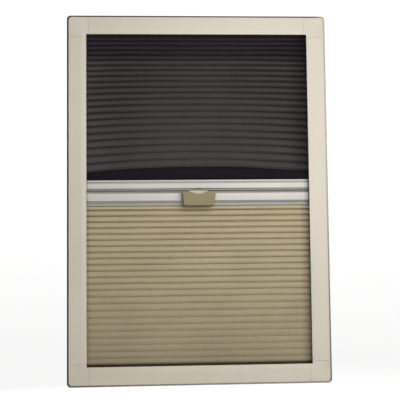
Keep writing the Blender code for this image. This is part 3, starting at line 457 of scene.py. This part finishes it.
def painted_edge_shade_and_light(look, colour, right_tone, right_reach, left_tone, left_reach, low_tone):
    """The cloth's colour with painted shade beside the right rail, low down and at the foot; beside the left
    rail, painted light where the tone is above 1 and painted shade where it is below.
    """
    along = look.axes(look.coordinates())
    # Painted shade beside the right rail; beside the left, painted light for a tone above 1 and painted shade
    # below it
    right = look.span(along[0], CLOTH_EDGE - right_reach, CLOTH_EDGE - CLOTH_EDGE_DARK, 1.0, right_tone)
    left = look.span(along[0], -CLOTH_EDGE, left_reach - CLOTH_EDGE, left_tone, 1.0)
    # Painted shade low down and at the foot
    low = look.span(along[2], CLOTH_FOOT, CLOTH_LOW, low_tone, 1.0)
    foot = look.span(along[2], CLOTH_FOOT, CLOTH_FOOT + CLOTH_FOOT_REACH, CLOTH_FOOT_TONE, 1.0)
    return look.toned(colour, look.product(look.product(right, left), look.product(low, foot)))


def net_cloth():
    look, colour, normal = woven("net", NET_COLOUR, NET_THREAD, shading=0.45, sheen=0.03, roughness=0.82)
    down = look.span(look.axes(look.coordinates("UV"))[1], *NET_FADE)
    fade = look.ramp(down, (0.0, (0.40, 0.36, 0.45)), (0.06, (0.85, 0.83, 0.85)), (1.0, (1.0, 1.0, 1.0)))
    return look.give(Base_Color=painted_edge_shade_and_light(look, look.tinted(colour, fade), **NET_EDGES), Normal=normal)


def hem_cloth():
    look, colour, normal = woven("net_hem", HEM_COLOUR, NET_THREAD, shading=0.40, sheen=0.02, roughness=0.85)
    return look.give(Base_Color=colour, Normal=normal)


def shade_cloth():
    look, colour, normal = woven(
        "shade", SHADE_COLOUR, SHADE_THREAD, shading=0.16, sheen=0.06, roughness=0.88,
    )
    return look.give(Base_Color=painted_edge_shade_and_light(look, colour, **SHADE_EDGES), Normal=normal)


def linked(name, mesh_points, faces, uvs, look):
    """A mesh object from rows of points, with the flat measure of the cloth as its UV."""
    mesh = bpy.data.meshes.new(name)
    mesh.from_pydata(mesh_points, [], faces)
    layer = mesh.uv_layers.new(name="flat")
    for loop in mesh.loops:
        layer.data[loop.index].uv = uvs[loop.vertex_index]
    mesh.shade_smooth()
    mesh.materials.append(look)
    obj = bpy.data.objects.new(name, mesh)
    SCENE.collection.objects.link(obj)
    return obj


def pleat_levels(top, bottom, count, growth):
    """Heights of the back folds from the top down, where the pitch grows by the given share."""
    shares = [1 + growth * (k / (count - 1) - 0.5) for k in range(count)]
    scale = (top - bottom) / sum(shares)
    levels = [top]
    for share in shares:
        levels.append(levels[-1] - share * scale)
    return levels


def leg(belly, forward):
    """Shares of depth and drop along one leg. A belly of 1 curls it over like a quarter of an ellipse."""
    made = []
    for k in range(LEG_ROWS + 1):
        s = k / LEG_ROWS
        angle = s * math.pi / 2
        round_depth, round_drop = math.sin(angle), 1 - math.cos(angle)
        depth = s + (round_depth - s) * belly
        drop = s + (round_drop - s) * belly
        made.append((depth, drop))
    return made if forward else [(d, 1 - z) for d, z in reversed(made)]


class Pleats:
    """One pleated cloth, made of a piece for each pleat, between frame and bar.

    Its folds lie to the front and the back of the slots that hold its two ends.
    """

    def __init__(self, node, body, bar, strip, look, slot, thickness, count, depths, fall=1.0):
        self.node, self.body, self.bar, self.strip = node, body, bar, strip
        self.look, self.slot, self.thickness = look, slot, thickness
        self.last, self.depths, self.fall = count - 1, depths, fall
        low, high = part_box(node)
        self.half = (high.x - low.x) / 2
        self.low, self.high = low.z, high.z
        self.run = 0.0
        self.made = []

    def half_depth(self, k):
        """Half the depth of a pleat. Lower pleats are shallower."""
        share = (max(k, 0) / self.last) ** self.fall
        return (self.depths[0] + (self.depths[1] - self.depths[0]) * share) / 2

    def front(self, k):
        return FABRIC_SLOT - self.half_depth(k)

    def back(self, k):
        """The fold at the foot of a pleat. The cloth's two ends lie in their slots."""
        return FABRIC_SLOT if k < 0 else FABRIC_SLOT + self.half_depth(k)

    def piece(self, rows, look=None, name=None):
        """A sheet from rows of two functions of x each, for the row's depth and its height."""
        name = name or f"{self.node}_{len(self.made):02d}"
        lengths = [self.run]
        for step in self.steps(rows, 0.0):
            lengths.append(lengths[-1] + step)
        points, uvs, faces = [], [], []
        for (depth, height), length in zip(rows, lengths):
            for x in self.across():
                points.append((x, depth(x), height(x)))
                uvs.append((x + self.half, length))
        wide = COLUMNS + 1
        for row in range(len(rows) - 1):
            for column in range(COLUMNS):
                a = row * wide + column
                faces.append((a, a + wide, a + wide + 1, a + 1))
        self.run = lengths[-1]
        obj = linked(name, points, faces, uvs, look or self.look)
        skin = obj.modifiers.new("cloth", "SOLIDIFY")
        skin.thickness = self.thickness
        skin.offset = 0.0
        self.hang(obj, rows[0][1](self.half), rows[-1][1](self.half))
        self.made.append((obj, self.mean_length(rows)))

    def across(self):
        return [self.half * (2 * column / COLUMNS - 1) for column in range(COLUMNS + 1)]

    def steps(self, rows, x):
        """The cloth's length from each row to the next, at one place across its width."""
        line = [(depth(x), height(x)) for depth, height in rows]
        return [math.hypot(c - a, d - b) for (a, b), (c, d) in zip(line, line[1:])]

    def mean_length(self, rows):
        """The cloth's length over its fold, as the mean across its width."""
        return sum(sum(self.steps(rows, x)) for x in self.across()) / (COLUMNS + 1)

    def hang(self, obj, first, last):
        """Bake the sheet's place into its mesh and hide the solid model's cloth. The first and last heights
        are not used.
        """
        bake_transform(obj)
        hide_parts(self.node)

    def declare(self):
        """Find the pieces whose flat length is enough for a sheet and, for each, the short legs beside it.
        Nothing more is done with them.
        """
        long = [k for k, (_, length) in enumerate(self.made) if length >= SHORTEST_SHEET]
        beside = {k: [] for k in long}
        for k, (obj, length) in enumerate(self.made):
            if k not in beside:
                beside[min(long, key=lambda other: abs(other - k))].append(obj)
        for k in long:
            obj, length = self.made[k]


def leg_rows(shares, head, foot, inner, outer):
    """Rows of one leg, from head to foot. Its depth runs from the back fold, inner, to the crest, outer."""
    return [
        (
            lambda x, d=d: inner + (outer(x) - inner) * d,
            lambda x, z=z: head(x) + (foot(x) - head(x)) * z,
        ) for d, z in shares
    ]


def flat_row(depth, z):
    return (lambda x: depth), (lambda x: z)


def flat_pleat(cloth, k, above, ridge, below, inner, outer):
    """Two straight legs, each its own sheet, where a pleat meets the slot that holds the cloth."""
    cloth.piece([flat_row(inner, above), flat_row(cloth.front(k), ridge)])
    cloth.piece([flat_row(cloth.front(k), ridge), flat_row(outer, below)])


def smooth_step(t):
    t = max(0.0, min(1.0, t))
    return t * t * (3 - 2 * t)


def wave(x, k, size, seed):
    return size * noise.noise(Vector((x * WAVE_ALONG, k * WAVE_STEP, seed)))


def shade_levels(cloth):
    levels = [cloth.high] + pleat_levels(cloth.high - SHADE_LEAD, cloth.low, SHADE_PLEATS, SHADE_GROWTH)
    for k, level in enumerate(levels):
        share = k / len(levels)
        rise = smooth_step((share - SHADE_DROP_START) / SHADE_DROP_RISE)
        levels[k] = level - SHADE_DROP * rise * smooth_step((SHADE_DROP_END - share) / SHADE_DROP_FALL)
    return levels


def make_shade():
    cloth = Pleats(
        "blind_fabric", "blind_bar_body", "blind_bar", "blind_foot_strip", shade_cloth(), "shade_cloth",
        SHADE_THICKNESS, SHADE_PLEATS + 1, SHADE_DEPTHS, SHADE_DEPTH_FALL,
    )
    levels = shade_levels(cloth)
    last = cloth.last

    def valley(k, z):
        still = k in (0, 1, last + 1)
        return lambda x: z + (0.0 if still else wave(x, k, *SHADE_WAVES["valley"]))

    for k, (above, below) in enumerate(zip(levels, levels[1:])):
        sag = smooth_step((k / last - SHADE_LOW_START) / SHADE_LOW_SPAN)
        share = SHADE_RIDGE + (SHADE_LOW_RIDGE - SHADE_RIDGE) * (0 if k == last else sag)
        ridge = above - (above - below) * share
        if k == last:
            flat_pleat(cloth, k, above, ridge, below, cloth.back(k - 1), FABRIC_SLOT)
            continue

        def front(x, k=k):
            return cloth.front(k) + wave(x, k, *SHADE_WAVES["front"])

        def crest(x, k=k, ridge=ridge):
            return ridge + wave(x, k, *SHADE_WAVES["crest"])

        belly = SHADE_BELLY + (SHADE_LOW_BELLY - SHADE_BELLY) * sag
        rows = leg_rows(leg(belly, True), valley(k, above), crest, cloth.back(k - 1), front)
        rows += leg_rows(leg(SHADE_UNDER_BELLY, False), crest, valley(k + 1, below), cloth.back(k), front)[1:]
        cloth.piece(rows)
    cloth.declare()


def make_net():
    cloth = Pleats(
        "screen_fabric", "screen_bar_body", "screen_bar", "screen_head_strip", net_cloth(), "screen_net",
        NET_THICKNESS, NET_PLEATS, NET_DEPTHS,
    )
    hem_top = cloth.low - NET_HEM_LAP + NET_HEM
    levels = pleat_levels(cloth.high, hem_top, NET_PLEATS, NET_GROWTH)
    height = cloth.high - hem_top

    def drooped(z, x):
        return z - NET_BOW * ((cloth.high - z) / height) ** NET_BOW_GROWTH * (x / cloth.half) ** 2

    def valley(k, z):
        if k == 0:
            return lambda x: z
        return lambda x: drooped(z, x) + wave(x, k, *NET_WAVES["valley"])

    def slack(x, share):
        """How much further back the folds lie round one place in the middle, where the cloth is loose."""
        down = (share - NET_SLACK_PLACE) / NET_SLACK_SHARE
        return NET_SLACK * math.exp(-((x / NET_SLACK_WIDTH) ** 2)) * math.exp(-(down ** 2))

    for k, (above, below) in enumerate(zip(levels, levels[1:])):
        ridge = above - (above - below) * NET_RIDGE
        if k == 0:
            flat_pleat(cloth, k, above, ridge, below, FABRIC_SLOT, cloth.back(k))
            continue
        top, foot = valley(0 if k == 1 else k, above), valley(k + 1, below)

        def front(x, k=k, z=ridge):
            share = (cloth.high - z) / height
            fuller = NET_MIDDLE + (NET_SIDES - NET_MIDDLE) * (x / cloth.half) ** 2
            fuller = 1.0 + (fuller - 1.0) * smooth_step(share / NET_HEAD_SHARE)
            reach = min(fuller * cloth.half_depth(k), NET_REACH)
            return FABRIC_SLOT - reach + slack(x, share) + wave(x, k, *NET_WAVES["front"])

        def crest(x, k=k, ridge=ridge):
            return drooped(ridge, x) + wave(x, k, *NET_WAVES["crest"])

        rows = leg_rows(leg(NET_BELLY, True), top, crest, cloth.back(k - 1), front)
        rows += leg_rows(leg(NET_UNDER_BELLY, False), crest, foot, cloth.back(k), front)[1:]
        cloth.piece(rows)
    make_hem(cloth, valley(NET_PLEATS, hem_top))
    cloth.declare()


def make_hem(cloth, top):
    """The net's flat dark foot, from its last fold into the bar's slot."""
    inner = cloth.back(cloth.last)
    rows = []
    for k in range(NET_HEM_STEPS + 1):
        s = k / NET_HEM_STEPS
        rows.append((
            lambda x, s=s: inner + (FABRIC_SLOT - inner) * s,
            lambda x, s=s: top(x) + (cloth.low - top(x)) * s,
        ))
    cloth.piece(rows, look=hem_cloth(), name="screen_fabric_hem")


def latch_plastic():
    """Pale plastic, with a grey nose: painted shade where the nose sits in the dark groove."""
    look = Look("latch_plastic", 0.5, Specular_IOR_Level=0.25)
    plain = look.coordinates()
    fine = look.noise(plain, 1400.0, 3.0, 0.7)
    # Painted shade on the nose, where it sits in the groove between the bars
    nose_painted_shade = look.span(look.axes(plain)[2], LATCH_NOSE_FOOT - SOFT_STEP, LATCH_NOSE_FOOT)
    pale = look.ramp(fine, (0.3, (0.68, 0.66, 0.53)), (0.7, (0.75, 0.73, 0.60)))
    grey = look.ramp(fine, (0.3, (0.17, 0.165, 0.15)), (0.7, (0.22, 0.215, 0.20)))
    return look.give(
        Base_Color=look.mixed(nose_painted_shade, pale, grey),
        Roughness=look.span(fine, 0.3, 0.7, 0.42, 0.58),
        Normal=look.bump(fine, 0.00005, 0.6),
    )


def dress_frame():
    cream = (0.700, 0.648, 0.548)
    upright = painted("cream_upright", cream, "Z")
    looks = {
        "frame": painted("cream_level", cream, "X"),
        "corner": moulded(
            "cream_corner", (0.690, 0.640, 0.545), 0.42, grain=1300.0, depth=0.00006, speck=0.03,
        ),
        "screw": steel("screw_steel", (0.60, 0.60, 0.60)),
        "seal": foam("seal_foam", (0.050, 0.050, 0.052), (0.56, 0.53, 0.46)),
        "strip": moulded("strip_plastic", (0.20, 0.20, 0.20), 0.5),
        "pile": pile("pile_fibre", (0.18, 0.18, 0.18)),
        "cord": braided("cord_braid", (0.60, 0.59, 0.55)),
        "spring": steel("spring_wire", (0.60, 0.60, 0.62)),
        "stop": moulded("stop_plastic", (0.20, 0.20, 0.20), 0.5),
        "bar": anodised("bar_metal", (0.545, 0.527, 0.498)),
        "glide": moulded("glide_plastic", (0.20, 0.20, 0.20), 0.45),
        "handle": moulded(
            "handle_plastic", (0.288, 0.250, 0.142), 0.55,
            grain=1500.0, depth=0.00007, speck=0.10, gloss=0.20,
        ),
        "latch": latch_plastic(),
        "pin": steel("pin_steel", (0.60, 0.60, 0.60)),
    }
    for part in frame["record"]["subparts"]:
        look = looks.get(part["material_slot"])
        if part["node"] in ("rail_left", "rail_right"):
            look = upright
        if look:
            for place in frame["nodes"][part["node"]].material_slots:
                place.material = look


def stage_look():
    """A plain pale surface that shows white to the camera and keeps a soft shadow."""
    look = Look("stage_white", 0.9, Base_Color=(0.60, 0.60, 0.60, 1.0), Specular_IOR_Level=0.0)
    path = look.node("ShaderNodeLightPath").outputs
    seen = look.maths("ADD", path["Is Camera Ray"], path["Is Glossy Ray"], clamp=True)
    seen = look.maths("ADD", seen, path["Is Transmission Ray"], clamp=True)
    height = look.axes(look.coordinates())[2]
    level = look.span(height, STAGE_FLOOR, STAGE_FLOOR + STAGE_RADIUS, FLOOR_GLOW, BACKDROP_GLOW)
    glow = look.node("ShaderNodeEmission", {"Color": WHITE, "Strength": look.product(seen, level)})
    both = look.node("ShaderNodeAddShader", {0: look.shader.outputs[0], 1: glow.outputs[0]})
    look.tree.links.new(both.outputs[0], look.tree.nodes["Material Output"].inputs["Surface"])
    return look.material


def make_stage():
    """Floor and backdrop in one sweep."""
    outline = [(STAGE_FRONT, STAGE_FLOOR)]
    for k in range(STAGE_STEPS + 1):
        angle = -math.pi / 2 + k / STAGE_STEPS * math.pi / 2
        outline.append((
            STAGE_BACK - STAGE_RADIUS + STAGE_RADIUS * math.cos(angle),
            STAGE_FLOOR + STAGE_RADIUS + STAGE_RADIUS * math.sin(angle),
        ))
    outline.append((STAGE_BACK, STAGE_TOP))
    points = [(x, y, z) for y, z in outline for x in (-STAGE_HALF, STAGE_HALF)]
    faces = [(2 * k, 2 * k + 1, 2 * k + 3, 2 * k + 2) for k in range(len(outline) - 1)]
    mesh = bpy.data.meshes.new("stage")
    mesh.from_pydata(points, [], faces)
    mesh.shade_smooth()
    mesh.materials.append(stage_look())
    obj = bpy.data.objects.new("stage", mesh)
    SCENE.collection.objects.link(obj)


def area_light(name, place, size, power, colour):
    data = bpy.data.lights.new(name, "AREA")
    data.shape = "DISK"
    data.size = size
    data.energy = power
    data.color = colour
    lamp = bpy.data.objects.new(name, data)
    lamp.location = place
    lamp.rotation_euler = (-Vector(place)).to_track_quat("-Z", "Y").to_euler()
    lamp.visible_camera = False
    SCENE.collection.objects.link(lamp)


def make_light():
    """White behind all that the camera sees, a low warm ambient for the rest, and three soft lamps."""
    world = bpy.data.worlds.new("studio")
    SCENE.world = world
    world.use_nodes = True
    tree = world.node_tree
    path = tree.nodes.new("ShaderNodeLightPath").outputs
    seen = path["Is Camera Ray"]
    for ray in ("Is Glossy Ray", "Is Transmission Ray"):
        add = tree.nodes.new("ShaderNodeMath")
        add.operation, add.use_clamp = "ADD", True
        tree.links.new(seen, add.inputs[0])
        tree.links.new(path[ray], add.inputs[1])
        seen = add.outputs[0]
    ambient = tree.nodes["Background"]
    ambient.inputs["Color"].default_value = (*WARM, 1.0)
    ambient.inputs["Strength"].default_value = AMBIENT
    white = tree.nodes.new("ShaderNodeBackground")
    white.inputs["Color"].default_value = WHITE
    white.inputs["Strength"].default_value = 1.0
    mix = tree.nodes.new("ShaderNodeMixShader")
    tree.links.new(seen, mix.inputs[0])
    tree.links.new(ambient.outputs[0], mix.inputs[1])
    tree.links.new(white.outputs[0], mix.inputs[2])
    tree.links.new(mix.outputs[0], tree.nodes["World Output"].inputs["Surface"])
    area_light("key", KEY_PLACE, KEY_SIZE, KEY_POWER, WARM)
    area_light("fill", FILL_PLACE, FILL_SIZE, FILL_POWER, COOL)
    area_light("back", BACK_PLACE, BACK_SIZE, BACK_POWER, WARM)


make_camera()
dress_frame()
make_net()
make_shade()
make_stage()
make_light()
SCENE.view_settings.view_transform = "Standard"

bpy.context.view_layer.update()
